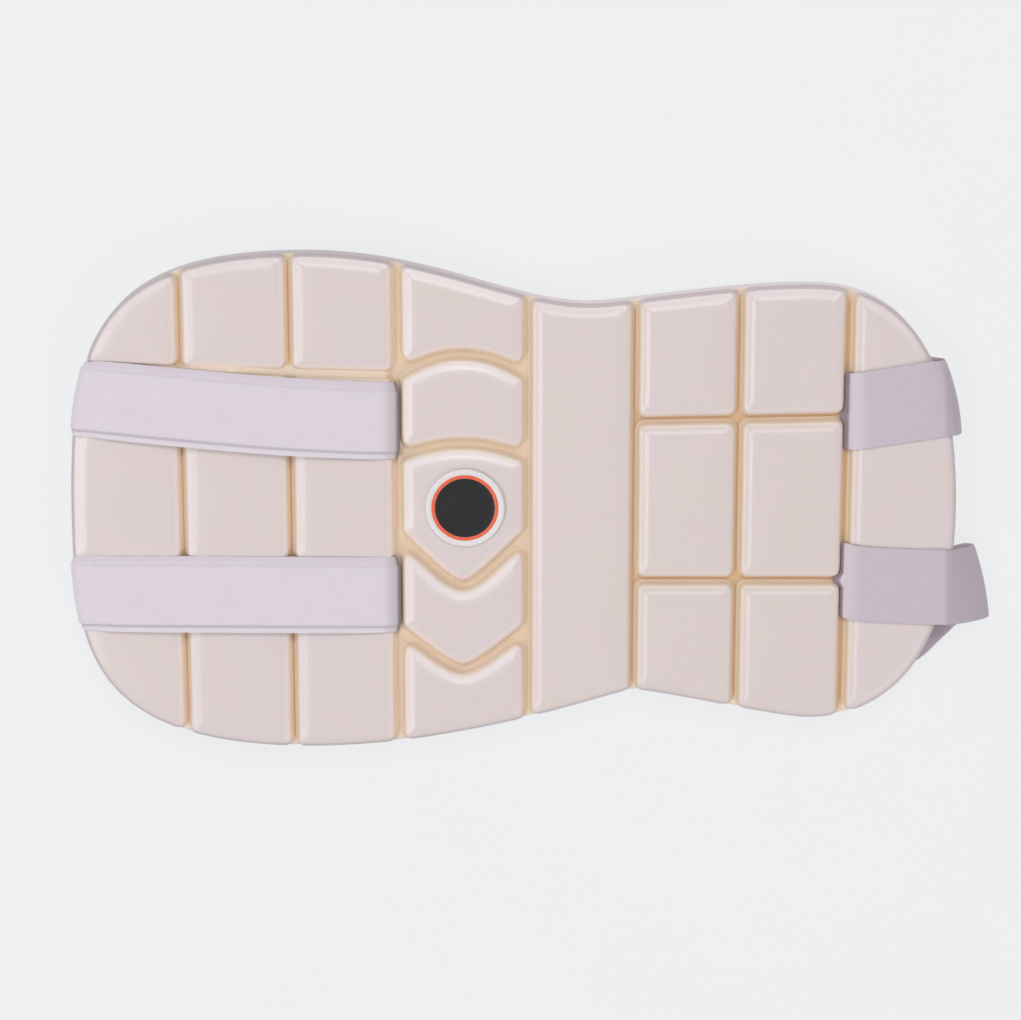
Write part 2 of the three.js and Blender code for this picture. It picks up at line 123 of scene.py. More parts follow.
# %% [markdown]
# ## Writing materials as sums
# A material is a net of nodes, and wiring many small Math nodes by hand hides what they work out.
# The class below wraps one socket, so that `1 - mask` or `grain * 0.3` adds the node for us.
# Every other node comes from its one method, which takes the node's type, its inputs and its settings.

# %% Shader expressions
def find_socket(sockets, key):
    """A socket by its number, its identifier or its name."""
    if isinstance(key, int):
        return sockets[key]
    named = [socket for socket in sockets if key in (socket.identifier, socket.name)]
    return min(named, key=lambda socket: socket.identifier != key)


class Shade:
    """One socket in a material; sums on it add Math nodes to that material."""

    def __init__(self, tree, socket=None):
        self.tree = tree
        self.socket = socket

    def node(self, kind, inputs=None, output=0, **settings):
        made = self.tree.nodes.new(kind)
        for name, value in settings.items():
            setattr(made, name, value)
        for key, value in (inputs or {}).items():
            socket = find_socket(made.inputs, key)
            if isinstance(value, Shade):
                self.tree.links.new(value.socket, socket)
            else:
                socket.default_value = value
        return Shade(self.tree, find_socket(made.outputs, output))

    def sum(self, operation, first, second=0.0):
        return self.node("ShaderNodeMath", {0: first, 1: second}, operation=operation)

    def __add__(self, other):
        return self.sum("ADD", self, other)

    def __sub__(self, other):
        return self.sum("SUBTRACT", self, other)

    def __rsub__(self, other):
        return self.sum("SUBTRACT", other, self)

    def __mul__(self, other):
        return self.sum("MULTIPLY", self, other)

    __radd__ = __add__
    __rmul__ = __mul__

    def place(self):
        """Coordinates on the piece itself."""
        return self.node("ShaderNodeTexCoord", output="Object")

    def on_strap(self):
        """The place on a strap, and its parts across and along the strap, in metres."""
        place = self.node("ShaderNodeUVMap", output="UV", uv_map="strap")
        return place, place.part("X"), place.part("Y")

    def stored(self, name):
        """A number that the mesh stores for each of its points."""
        return self.node("ShaderNodeAttribute", output="Fac", attribute_name=name)

    def part(self, axis):
        """One of the three parts of a place."""
        return self.node("ShaderNodeSeparateXYZ", {"Vector": self}, axis)

    def ease(self, start, stop):
        """Goes smoothly from 0 at start to 1 at stop."""
        inputs = {"Value": self, "From Min": start, "From Max": stop}
        return self.node("ShaderNodeMapRange", inputs, interpolation_type="SMOOTHSTEP")

    def blend(self, low, high):
        """A colour between two others, with this value as the share of the second."""
        inputs = {"Factor_Float": self, "A_Color": low, "B_Color": high}
        return self.node("ShaderNodeMix", inputs, "Result_Color", data_type="RGBA")


# %% Colours and a new finish
def paint(red, green, blue):
    """A colour from its usual 0 to 255 values, made linear for the shader."""
    shares = [value / 255 for value in (red, green, blue)]
    linear = [share / 12.92 if share < 0.04045 else ((share + 0.055) / 1.055) ** 2.4 for share in shares]
    return (*linear, 1.0)


def new_finish(name, **constants):
    """A material, its shader and a start for its expressions. Constants go straight on the shader."""
    material = bpy.data.materials.new(name)
    material.use_nodes = True
    shader = material.node_tree.nodes["Principled BSDF"]
    for socket, value in constants.items():
        shader.inputs[socket.replace("_", " ")].default_value = value
    return material, shader, Shade(material.node_tree)


def feed(shader, **expressions):
    """Links expressions to the shader's sockets, such as Base_Color and Roughness."""
    for socket, expression in expressions.items():
        expression.tree.links.new(expression.socket, shader.inputs[socket.replace("_", " ")])


def speckle(at, scale, detail=2.0):
    """Soft noise from 0 to 1; the scale is in patches per metre."""
    inputs = {"Vector": at, "Scale": scale, "Detail": detail, "Roughness": 0.5}
    return at.node("ShaderNodeTexNoise", inputs, "Fac")


def relief(height, strength, depth):
    """A surface direction from a height; the depth is in metres."""
    return height.node("ShaderNodeBump", {"Height": height, "Strength": strength, "Distance": depth})


def speckled_finish(name, low, high, scale, rough, spread, bump=0.0, **constants):
    """A finish between two colours in fine specks, which also change how rough it is and stand up."""
    material, shader, start = new_finish(name, **constants)
    fine = speckle(start.place(), scale)
    feed(shader, Base_Color=fine.blend(low, high), Roughness=rough + fine * spread)
    if bump > 0:
        feed(shader, Normal=relief(fine, bump, 0.0001))
    return material


# %% [markdown]
# ## Foam skin
# The blocks are pressed from foam with a thin, faintly grained skin, cream with a breath of pink. Deep in
# the grooves it turns buff and then tan. Low on the pad's edge a greyer band is painted shade, darker
# towards the left end. A flat cream would look like card, so slow patches of two creams lie under a fine
# pebble grain. Attributes on the mesh say how deep in a groove and how far down the pad's edge each point
# is, where the rolls that face away from the lamps are painted paler and warmer as painted light, and where
# a painted highlight lies along the steps.

# %% Foam skin
CREAM_PINK = paint(221, 207, 208)
CREAM_YELLOW = paint(221, 208, 205)
# Painted highlight along the steps
LIT_CREAM = paint(236, 225, 226)
# Painted light on the rolls that face away from the lamps
ROLL_LIGHT_CREAM = paint(241, 223, 214)
ROLL_LIGHT_BUFF = paint(248, 224, 195)
# Buff and tan deep in the grooves
GROOVE_BUFF = paint(227, 208, 187)
GROOVE_TAN = paint(211, 177, 141)
# Painted shade low on the pad's edge
RIM_DARK = paint(192, 181, 183)
RIM_PALE = paint(204, 190, 193)

# The pad's edge turns paler between these two places along it, in metres: painted shade, darker to the left
PALE_SIDE = (-0.08, 0.03)


def foam_skin():
    material, shader, start = new_finish("foam_skin", Specular_IOR_Level=0.5)
    at = start.place()
    depth = start.stored("groove_depth")
    rim = start.stored("pad_rim")
    roll_light = start.stored("painted_roll_light")
    step_highlight = start.stored("painted_step_highlight")
    patches = speckle(at, 26.0).ease(0.35, 0.65)
    fine = speckle(at, 420.0)
    pebbles = at.node("ShaderNodeTexVoronoi", {"Vector": at, "Scale": 1150.0}, feature="SMOOTH_F1")
    across = at.part("X")
    # Painted highlight along the steps
    cream = step_highlight.blend(patches.blend(CREAM_PINK, CREAM_YELLOW), LIT_CREAM)
    # Painted light on the rolls away from the lamps, and painted shade low on the pad's edge, darker to the
    # left
    outer = rim.blend(roll_light.blend(cream, ROLL_LIGHT_CREAM), across.ease(*PALE_SIDE).blend(RIM_DARK, RIM_PALE))
    buff = roll_light.blend(GROOVE_BUFF, ROLL_LIGHT_BUFF)
    side = (depth.ease(0.0, 0.5) * (0.85 + fine * 0.3)).blend(outer, buff)
    skin = depth.ease(0.5, 1.0).blend(side, GROOVE_TAN)
    grain = relief(pebbles + fine, 0.12, 0.0001)
    feed(shader, Base_Color=skin, Roughness=0.31 + fine * 0.08, Normal=grain)
    return material


FOAM_SKIN = foam_skin()

# %% [markdown]
# ## Reading outlines from the solids
# Each block's solid has a flat foot. Its edge is the row of triangle sides that only one flat triangle
# uses. The solid's edge has few corners, so a smooth curve is run through them and stepped finely.

# %% Outlines
FLATNESS = 0.01
EDGE_STEP = 1.2
FOOT_STEP = 0.9
CURVE_STEPS = 12


def flat_ring(node, top=False):
    """Edge of a solid's flat foot or top, counter-clockwise, in millimetres."""
    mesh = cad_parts[node].data
    corners = np.array([vertex.co for vertex in mesh.vertices]) / MM
    level = corners[:, 2].max() if top else corners[:, 2].min()
    sides = set()
    for face in mesh.polygons:
        trio = list(face.vertices)
        if np.abs(corners[trio, 2] - level).max() < FLATNESS:
            loop = [tuple(corners[index, :2].round(3)) for index in trio]
            sides.update(zip(loop, loop[1:] + loop[:1]))
    follows = {here: there for here, there in sides if (there, here) not in sides}
    ring = [min(follows)]
    while len(ring) < len(follows):
        ring.append(follows[ring[-1]])
    return np.array(ring if top else ring[::-1])


def passing(first, second, start, stop, now):
    """What lies between two points at a time between the times of the two."""
    return (first * (stop - now) + second * (now - start)) / (stop - start)


def smooth_line(points, per_span, closed=False):
    """Dense samples of a centripetal Catmull-Rom curve through the points."""
    points = np.asarray(points, float)
    before = points[-1:] if closed else 2 * points[:1] - points[1:2]
    after = points[:2] if closed else 2 * points[-1:] - points[-2:-1]
    guides = np.vstack([before, points, after])
    share = np.linspace(0, 1, per_span, endpoint=False)[:, None]
    spans = []
    for a, b, c, d in zip(guides, guides[1:], guides[2:], guides[3:]):
        first = np.linalg.norm(b - a) ** 0.5
        second = first + np.linalg.norm(c - b) ** 0.5
        third = second + np.linalg.norm(d - c) ** 0.5
        now = first + share * (second - first)
        ab = passing(a, b, 0, first, now)
        bc = passing(b, c, first, second, now)
        cd = passing(c, d, second, third, now)
        abc = passing(ab, bc, 0, second, now)
        bcd = passing(bc, cd, first, third, now)
        spans.append(passing(abc, bcd, first, second, now))
    return np.vstack(spans if closed else spans + [points[-1:]])


def distances(line):
    """Distance along a line at each of its points."""
    return np.concatenate([[0], np.cumsum(np.linalg.norm(np.diff(line, axis=0), axis=1))])


def even_ring(ring, step):
    """A smooth closed ring through a coarse one, stepped evenly."""
    dense = smooth_line(ring, CURVE_STEPS, closed=True)
    dense = np.vstack([dense, dense[:1]])
    along = distances(dense)
    count = round(along[-1] / step)
    stops = np.linspace(0, along[-1], count, endpoint=False)
    return np.column_stack([np.interp(stops, along, dense[:, axis]) for axis in (0, 1)])


pad_edge = even_ring(flat_ring("backing", top=True), EDGE_STEP)
block_nodes = [name for name in sorted(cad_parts) if "block" in name]
feet = {node: even_ring(flat_ring(node), FOOT_STEP) for node in block_nodes}
print("pad edge, mm:", round(distances(pad_edge)[-1]), "and", len(feet), "blocks")

# %% [markdown]
# ## Turning rings into meshes
# A pressed shape is a stack of rings, each a little further in and up. Flat areas inside the last ring are
# filled with even triangles: a fan from the middle would pinch there and show in the shine.

# %% Mesh helpers
TRIANGLE_HEIGHT = 0.87
SHARP_ANGLE = math.radians(55)


def ease(value, start, stop):
    """Goes smoothly from 0 at start to 1 at stop."""
    share = np.clip((value - start) / (stop - start), 0, 1)
    return share * share * (3 - 2 * share)


def inward(ring):
    """Unit direction into a counter-clockwise ring at each of its points."""
    ahead = np.roll(ring, -1, axis=0) - np.roll(ring, 1, axis=0)
    ahead = ahead / np.linalg.norm(ahead, axis=1, keepdims=True)
    return np.column_stack([-ahead[:, 1], ahead[:, 0]])


def nearest(points, ring):
    """Distance from each point to the nearest point of a ring."""
    return np.linalg.norm(points[:, None, :] - ring[None, :, :], axis=2).min(axis=1)


def inside(points, ring):
    """Which points lie inside a ring, by counting the sides that pass to their right."""
    start = ring
    stop = np.roll(ring, -1, axis=0)
    rise = stop[:, 1] - start[:, 1]
    rise = np.where(rise == 0, 1e-9, rise)
    x = points[:, None, 0]
    y = points[:, None, 1]
    spans = (start[:, 1] <= y) != (stop[:, 1] <= y)
    meets = start[:, 0] + (y - start[:, 1]) / rise * (stop[:, 0] - start[:, 0])
    return (spans & (x < meets)).sum(axis=1) % 2 == 1


def grid_inside(ring, spacing, margin):
    """Evenly spread points inside a ring that keep a margin from it."""
    low = ring.min(axis=0)
    high = ring.max(axis=0)
    columns = np.arange(low[0], high[0], spacing)
    rows = np.arange(low[1], high[1], spacing * TRIANGLE_HEIGHT)
    grid = np.array([(x + spacing / 2 * (row % 2), y) for row, y in enumerate(rows) for x in columns])
    grid = grid[inside(grid, ring)]
    return grid[nearest(grid, ring) > margin]


def fill(ring, inner=()):
    """Triangles that fill a ring, with the points inside it numbered after the ring's own."""
    points = [Vector(point) for point in (*ring, *inner)]
    sides = [(index, (index + 1) % len(ring)) for index in range(len(ring))]
    made = geometry.delaunay_2d_cdt(points, sides, [], 1, 1e-6)
    return [tuple(made[3][index][0] for index in face) for face in made[2]]


def wall_faces(rings, count):
    """Four-sided faces between stacked rings of the same count."""
    faces = []
    for ring in range(rings - 1):
        for step in range(count):
            here = ring * count + step
            there = ring * count + (step + 1) % count
            faces.append((here, there, there + count, here + count))
    return faces


def new_piece(name, points, faces, *materials):
    """A smooth mesh object from points in millimetres."""
    mesh = bpy.data.meshes.new(name)
    mesh.from_pydata((np.asarray(points) * MM).tolist(), [], faces)
    mesh.shade_smooth()
    mesh.set_sharp_from_angle(angle=SHARP_ANGLE)
    for material in materials:
        mesh.materials.append(material)
    return add_object(name, mesh)


def mark(piece, name, values):
    """Stores one number for each point of a piece, for its material to read."""
    layer = piece.data.attributes.new(name, "FLOAT", "POINT")
    layer.data.foreach_set("value", np.asarray(values, np.float32))


def settle(piece, slot, *nodes):
    """The piece rides on the guard and stands for its solids; its slot is not used."""
    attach(piece, "root")
    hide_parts(*nodes)
    return piece


# %% [markdown]
# ## Base sheet
# Under the blocks lies one sheet of foam with the outline of the whole pad. It shows as the tan floor of
# the grooves, as a plain side wall, and underneath as a knitted lining. Three finishes on one mesh
# do that: separate pieces would open hairline gaps between them.

# %% Finishes of the base sheet
# The pad's side wall is painted darker as shade between these two places along it, in metres
DIM_END = (0.150, 0.172)


def groove_floor():
    material, shader, start = new_finish("groove_floor", Specular_IOR_Level=0.3)
    at = start.place()
    fine = speckle(at, 700.0)
    pale = start.stored("pale_floor")
    tan = (speckle(at, 60.0) * 0.7 + fine * 0.3).blend(paint(202, 165, 127), paint(212, 178, 142))
    # Painted light: the floor turns paler where the pale_floor attribute is high
    floor = (pale * (0.8 + fine * 0.3)).blend(tan, paint(231, 213, 193))
    feed(shader, Base_Color=floor, Roughness=0.5 + fine * 0.2, Normal=relief(fine, 0.2, 0.0001))
    return material


def side_wall():
    material, shader, start = new_finish("side_wall", Specular_IOR_Level=0.35)
    at = start.place()
    fine = speckle(at, 480.0)
    across = at.part("X")
    # Painted shade: the side wall is darker towards the left end and again towards the right end
    pale = across.ease(*PALE_SIDE) - across.ease(*DIM_END) * 0.6
    shade = pale * 0.9 + fine * 0.1
    feed(shader, Base_Color=shade.blend(paint(206, 194, 197), paint(238, 226, 229)))
    feed(shader, Roughness=0.5 + fine * 0.15, Normal=relief(fine, 0.25, 0.00012))
    return material


def bands(at, axis, scale):
    """Fine, slightly uneven waves along one axis."""
    inputs = {"Vector": at, "Scale": scale, "Distortion": 0.6}
    waves = {"wave_type": "BANDS", "bands_direction": axis, "wave_profile": "SIN"}
    return at.node("ShaderNodeTexWave", inputs, "Fac", **waves)


def knit_lining():
    material, shader, start = new_finish("knit_lining", Sheen_Weight=0.25, Specular_IOR_Level=0.2)
    at = start.place()
    loops = bands(at, "X", 260.0) * bands(at, "Y", 340.0)
    cloth = (loops * 0.7 + speckle(at, 90.0) * 0.3).blend(paint(196, 190, 188), paint(232, 228, 225))
    feed(shader, Base_Color=cloth, Roughness=0.8 + loops * 0.1, Normal=relief(loops, 0.5, 0.0003))
    return material


# %% Base sheet
# Height and inset of each ring, from the underside up
BASE_SECTION = [
    (3.8, 2.4), (3.95, 1.2), (4.5, 0.45), (5.3, 0.08),
    (6.2, 0.0), (10.5, 0.0), (14.4, 0.0), (14.8, 0.1), (15.0, 0.4),
]
LINING_SPACING = 7.0
LINING_MARGIN = 4.0
# Where the floor has its points and how wide narrow and open grooves are, then how much paler open
# crossings and the groove ends are painted, as painted light
GROOVE_MIDDLE = 1.6
FLOOR_MARGIN = 1.0
NARROW_GROOVE = 4.4
OPEN_CROSSING = 6.5
PALE_CROSSING = 0.7
PALE_ENDS = (1.0, 7.0)
# The groove along the upper tape: its place up the pad, its half width and where it ends
TAPE_ROW = 63.6
TAPE_ROW_HALF = (3.0, 6.0)
TAPE_ROW_END = (-57.0, -52.0)
# How far the floor rises there, at two places along the tape
TAPE_ROW_PLACES = (-125.0, -105.0)
TAPE_ROW_RISE = (4.4, 2.2)
# The column of arches and chevrons, how much paler its grooves are painted as painted light, and the foot
# of the waist block beside it
MIDDLE_START = (-57.0, -53.0)
MIDDLE_STOP = (14.0, 17.0)
PALE_MIDDLE = 0.65
WAIST_FOOT = (6.0, 7.5)


def tape_row(points):
    """1 in the groove that the upper tape lies along, which is shallow and painted pale against the tape's
    shade.
    """
    x, y = (points - DRAWING).T
    return (1 - ease(np.abs(y - TAPE_ROW), *TAPE_ROW_HALF)) * (1 - ease(x, *TAPE_ROW_END))


def middle_column(points):
    """1 in the column that is cut by arches and chevrons, with the grooves on both sides of it."""
    x = points[:, 0] - DRAWING[0]
    return ease(x, *MIDDLE_START) * (1 - ease(x, *MIDDLE_STOP))


def painted_groove_light(points):
    """How much paler than the narrow grooves a groove is painted at each point, as painted light."""
    return np.maximum(tape_row(points), PALE_MIDDLE * middle_column(points))


def floor_points():
    """Points of the groove floor: along the foot of every block and along the middle of the grooves."""
    rows = []
    for foot in feet.values():
        rows += [foot[::2], (foot - inward(foot) * GROOVE_MIDDLE)[::2]]
    points = np.vstack(rows)
    return points[inside(points, pad_edge) & (nearest(points, pad_edge) > FLOOR_MARGIN)]


def painted_floor_light(points):
    """Painted light on the floor: narrow grooves stay tan, and crossings, the middle column and ends paler.
    """
    reach = np.sort([nearest(points, foot) for foot in feet.values()], axis=0)
    crossing = ease(reach[0] + reach[1], NARROW_GROOVE, OPEN_CROSSING)
    ends = 1 - ease(nearest(points, pad_edge), *PALE_ENDS)
    return np.max([PALE_CROSSING * crossing, ends, painted_groove_light(points)], axis=0)


def base_sheet():
    direction = inward(pad_edge)
    count = len(pad_edge)
    rings = []
    for z, inset in BASE_SECTION:
        rings.append(np.column_stack([pad_edge + direction * inset, np.full(count, z)]))
    faces = wall_faces(len(rings), count)
    walls = len(faces)
    lower = grid_inside(rings[0][:, :2], LINING_SPACING, LINING_MARGIN)
    under = fill(rings[0][:, :2], lower)
    upper = floor_points()
    over = fill(rings[-1][:, :2], upper)
    first_lower = len(rings) * count
    first_upper = first_lower + len(lower)
    renumber = [*range(count), *range(first_lower, first_upper)]
    faces += [tuple(renumber[index] for index in reversed(face)) for face in under]
    renumber = [*range(first_lower - count, first_lower), *range(first_upper, first_upper + len(upper))]
    faces += [tuple(renumber[index] for index in face) for face in over]
    rise = np.interp(upper[:, 0] - DRAWING[0], TAPE_ROW_PLACES, TAPE_ROW_RISE) * tape_row(upper)
    levels = (np.full(len(lower), BASE_SECTION[0][0]), BASE_SECTION[-1][0] + rise)
    flats = [np.column_stack([flat, level]) for flat, level in zip((lower, upper), levels)]
    finishes = (side_wall(), knit_lining(), groove_floor())
    piece = new_piece("base_sheet", np.vstack([*rings, *flats]), faces, *finishes)
    piece.data.polygons.foreach_set("material_index", [0] * walls + [1] * len(under) + [2] * len(over))
    # Painted light: the groove floor is paler where more light would reach
    mark(piece, "pale_floor", np.concatenate([np.ones(first_upper), painted_floor_light(upper)]))
    settle(piece, "backing", "backing")
    return piece


base = base_sheet()
print("base sheet faces:", len(base.data.polygons))

# %% [markdown]
# ## Pressed blocks
# Every block has a steep wall and a barely crowned top. Towards the upper left the two are joined by a
# narrow ledge and a small step, whose edge catches the light, and on the other sides by a plain roll.
# A cushion would be blown up by a cloth simulation, but these are pressed hard in a mould, so the section
# is drawn row by row instead. At the foot a small fillet, wider on the stepped sides, runs into the groove
# floor, as pressed foam does, and along the pad's own edge the wall stays flush with the base sheet. Two
# sides of a block meet at a corner, so a point that would come nearer to another side than to its own is
# left out there.

# %% Section of a block
# Every row is a distance in from the foot and a height
GROOVE_WALL = [
    (-1.0, 15.04), (-0.66, 15.3), (-0.4, 15.75), (-0.2, 16.4), (-0.05, 17.1), (0.08, 17.7), (0.3, 18.15),
]
LIT_WALL = [
    (-1.45, 15.04), (-1.0, 15.3), (-0.62, 15.75), (-0.34, 16.4), (-0.1, 17.1), (0.08, 17.7), (0.3, 18.15),
]
EDGE_WALL = [
    (-0.3, 15.04), (-0.3, 15.6), (-0.29, 16.2), (-0.25, 16.8), (-0.14, 17.3), (0.06, 17.75), (0.4, 18.15),
]
STEP = [
    (0.6, 18.6), (0.95, 18.92), (1.4, 19.15), (2.4, 19.32), (3.2, 19.46),
    (3.7, 19.62), (4.3, 19.86), (4.8, 20.04), (5.3, 20.15),
]
ROLL = [
    (0.6, 18.6), (0.95, 18.95), (1.35, 19.25), (1.8, 19.5), (2.3, 19.72),
    (2.8, 19.88), (3.3, 20.0), (3.9, 20.1), (4.6, 20.18),
]
# The way a stepped side faces, how the step fades as a side turns away, and over how many foot points
STEP_WAY = np.array([-0.5, 0.87])
STEP_TURN = (-0.15, 0.3)
STEP_FADE = 7
# A foot this near the pad's own edge has a flush wall, one this far a groove
GROOVE_START = (1.0, 4.5)
# A point is left out if it is nearer to the foot than this share of its distance in
KEPT_SHARE = 0.97
# Shoulders along the pad's own edge are wider
EDGE_STRETCH = 1.22
TOP_RIM = 20.2
TOP_MARGIN = 6.8
TOP_SPACING = 2.0
CROWN = 0.25
CROWN_REACH = 10.0
# Size, level in the noise and height of two kinds of swells
SWELLS = [(34, 0.3, 0.10), (12, 5.1, 0.035)]
# Where the skin turns buff and tan, and where the painted light on the rolls, the painted highlight on
# the steps and the painted grey shade of the rim lie, by the distance in from the foot
TAN_FOOT = (-1.0, -0.4)
PALE_FOOT = 0.45
BUFF_REACH = 0.4
ROLL_LIGHT_REACH = (0.9, 3.6)
HIGHLIGHT_START = (0.8, 2.0)
HIGHLIGHT_STOP = (4.2, 6.0)
RIM_REACH = (1.0, 2.3)
# How much further the buff reaches on a step, as painted light on walls that face the lamps, at two places
# along the pad
BUFF_ON_STEP = (1.4, 3.2)
BUFF_CHANGE = (-95.0, -55.0)
# How strong the painted light on the rolls that face away from the lamps is, at two places along the pad
ROLL_LIGHT_SHARE = (1.0, 0.55)
ROLL_LIGHT_CHANGE = (-60.0, 40.0)
# Share of the painted highlight along the pad's own edge and on sides that face left, and where a side
# faces up
HIGHLIGHT_RIM = 0.55
HIGHLIGHT_LEFT = 0.3
UPPER_SIDE = (0.1, 0.45)


def unevenness(points):
    """Faint hollows and swells of pressed foam, in millimetres."""
    total = np.zeros(len(points))
    for size, level, height in SWELLS:
        total += height * np.array([noise.noise(Vector((x / size, y / size, level))) for x, y in points])
    return total


def between(first, second, share):
    """Rows of distance and height between two sections, for the share of the second at every foot point."""
    first, second = (np.reshape(section, (len(section), -1, 2)) for section in (first, second))
    return first + (second - first) * share[None, :, None]


def block_top(foot):
    """Points of the flat top, barely crowned."""
    flat = grid_inside(foot, TOP_SPACING, TOP_MARGIN)
    if len(flat) == 0:
        return np.zeros((0, 3))
    share = np.clip((nearest(flat, foot) - TOP_MARGIN) / CROWN_REACH, 0, 1)
    height = TOP_RIM + CROWN * (1 - (1 - share) ** 2) + unevenness(flat) * ease(share, 0, 0.4)
    return np.column_stack([flat, height])


# %% Blocks
def block_sides(foot):
    """Points from the foot to the rim of the top, and the attributes of each."""
    direction = inward(foot)
    groove = ease(nearest(foot, pad_edge), *GROOVE_START)
    stepped = ease(-direction @ STEP_WAY, *STEP_TURN)
    stepped = np.mean([np.roll(stepped, shift) for shift in range(-STEP_FADE, STEP_FADE + 1)], axis=0)
    shoulder = between(ROLL, STEP, stepped)
    shoulder[:, :, 0] *= EDGE_STRETCH + (1 - EDGE_STRETCH) * groove
    inner_wall = between(GROOVE_WALL, LIT_WALL, stepped)
    rows = np.concatenate([between(EDGE_WALL, inner_wall, groove), shoulder])
    insets = rows[:, :, 0]
    flat = foot + direction * insets[:, :, None]
    kept = np.array([nearest(row, foot) > KEPT_SHARE * inset for row, inset in zip(flat, insets)])
    kept[:len(GROOVE_WALL)] = True
    along = foot[:, 0] - DRAWING[0]
    # Painted light: on the stepped sides, which face the lamps, the buff reaches further up and the tan
    # stays lower, and pale grooves get less tan
    on_step = np.interp(along, BUFF_CHANGE, BUFF_ON_STEP)
    buff = 1 - ease(insets, TAN_FOOT[1], BUFF_REACH + on_step * stepped)
    tan = (1 - ease(insets + PALE_FOOT * stepped, *TAN_FOOT)) * (1 - painted_groove_light(foot))
    deep = groove * (0.5 * buff + 0.5 * tan)
    # Painted light: the rolls that face away from the lamps are painted paler and warmer
    roll_light = groove * (1 - stepped) * (1 - ease(insets, *ROLL_LIGHT_REACH))
    roll_light *= np.interp(along, ROLL_LIGHT_CHANGE, ROLL_LIGHT_SHARE)
    # Painted highlight along the steps, weaker on sides that face left
    step_highlight = ease(insets, *HIGHLIGHT_START) * (1 - ease(insets, *HIGHLIGHT_STOP)) * stepped
    column = middle_column(foot) * (1 - ease(along, *WAIST_FOOT))
    step_highlight *= np.maximum(HIGHLIGHT_RIM * (1 - groove), column)
    step_highlight *= HIGHLIGHT_LEFT + (1 - HIGHLIGHT_LEFT) * ease(-direction[:, 1], *UPPER_SIDE)
    points = np.dstack([flat, rows[:, :, 1]])[kept]
    outside = np.broadcast_to(1 - groove, kept.shape)[kept]
    # Painted shade low on the pad's edge
    rim = outside * (1 - ease(nearest(points[:, :2], pad_edge), *RIM_REACH))
    attributes = {"groove_depth": deep, "painted_roll_light": roll_light, "painted_step_highlight": step_highlight}
    attributes = {name: values[kept] for name, values in attributes.items()}
    return points, {**attributes, "pad_rim": rim}


def pressed_block(node):
    foot = feet[node]
    sides, attributes = block_sides(foot)
    top = block_top(foot)
    points = np.vstack([sides, top])
    count = len(foot)
    walls = len(GROOVE_WALL)
    lip = (walls - 1) * count
    faces = wall_faces(walls, count)
    inner = fill(points[lip:lip + count, :2], points[lip + count:, :2])
    faces += [tuple(lip + index for index in face) for face in inner]
    faces += [tuple(reversed(face)) for face in fill(points[:count, :2])]
    piece = new_piece("foam_" + node, points, faces, FOAM_SKIN)
    for name, values in attributes.items():
        mark(piece, name, np.concatenate([values, np.zeros(len(top))]))
    settle(piece, "foam", node)
    return piece


blocks = [pressed_block(node) for node in block_nodes]
print("blocks:", len(blocks), "with", sum(len(block.data.polygons) for block in blocks), "faces")

# %% [markdown]
# ## Straps as lofted ribbons
# A strap is a flat ribbon on a route: out of its groove, over the blocks, round the end of the pad and
# back underneath. A curve with a bevel would twist at the fold, so each ribbon is lofted from rails, one
# for every point of its width. Where a row is marked as hugging, its x is counted from the pad's own edge,
# and the ribbon then bends round the curved end as real tape does.

# %% Ribbon surface
LEFT_PART = -120.0
LEFT_EDGE = pad_edge[pad_edge[:, 0] < DRAWING[0] + LEFT_PART]
LEFT_EDGE = LEFT_EDGE[np.argsort(LEFT_EDGE[:, 1])]


def left_edge(y):
    """x of the pad's left edge at a height on the pad, in the frame."""
    return np.interp(y, LEFT_EDGE[:, 1], LEFT_EDGE[:, 0])


RAIL_STEPS = 24
FLOOR_GAP = 0.06
TONGUE_ROWS = 2
TONGUE_HALF = 3.4


class Ribbon:
    """Middle surface of a strap: a grid of points, with the way out of it and the distance along it.

    A tongue is the place across the strap where its sewn end pokes into a crossing groove, and how far it
    does so. Loose rows tell how far the lower side of the strap stands off the foam there, and bowed rows
    how far its middle bows out.
    """

    def __init__(self, route, across, step, outside, tongue=None, loose=None, bowed=None):
        rails = []
        for offset in across:
            rail = []
            low_side = max(0, -offset / across[-1])
            near_middle = 1 - (offset / across[-1]) ** 2
            for row, (x, y, z, lean, *hugging) in enumerate(route):
                z += (loose or {}).get(row, 0) * low_side ** 2
                side_y = DRAWING[1] + y + offset * math.cos(math.radians(lean))
                side_x = DRAWING[0] + x + offset * math.sin(math.radians(lean))
                side_x += (bowed or {}).get(row, 0) * near_middle
                if tongue is not None and row < TONGUE_ROWS:
                    middle, long = tongue
                    side_x -= long * max(0, 1 - abs(offset - middle) / TONGUE_HALF)
                rail.append((left_edge(side_y) + x if hugging else side_x, side_y, z))
            rails.append(smooth_line(rail, RAIL_STEPS))
        dense = np.stack(rails, axis=1)
        along = distances(dense[:, len(across) // 2])
        stops = np.linspace(0, along[-1], round(along[-1] / step) + 1)
        shares = np.interp(stops, along, np.arange(len(along)))
        lower = np.minimum(shares.astype(int), len(along) - 2)
        part = (shares - lower)[:, None, None]
        self.points = dense[lower] * (1 - part) + dense[lower + 1] * part
        normal = np.cross(np.gradient(self.points, axis=0), np.gradient(self.points, axis=1))
        self.out = outside * normal / np.linalg.norm(normal, axis=2, keepdims=True)
        self.outside = outside
        self.across = across
        self.along = stops
        self.length = along[-1]

    def line(self, offset, lift, start):
        """A line on the ribbon at one distance from its middle, from a distance along it to its end."""
        column = np.argmin(np.abs(self.across - offset))
        rows = self.along >= start
        return self.points[rows, column] + self.out[rows, column] * lift


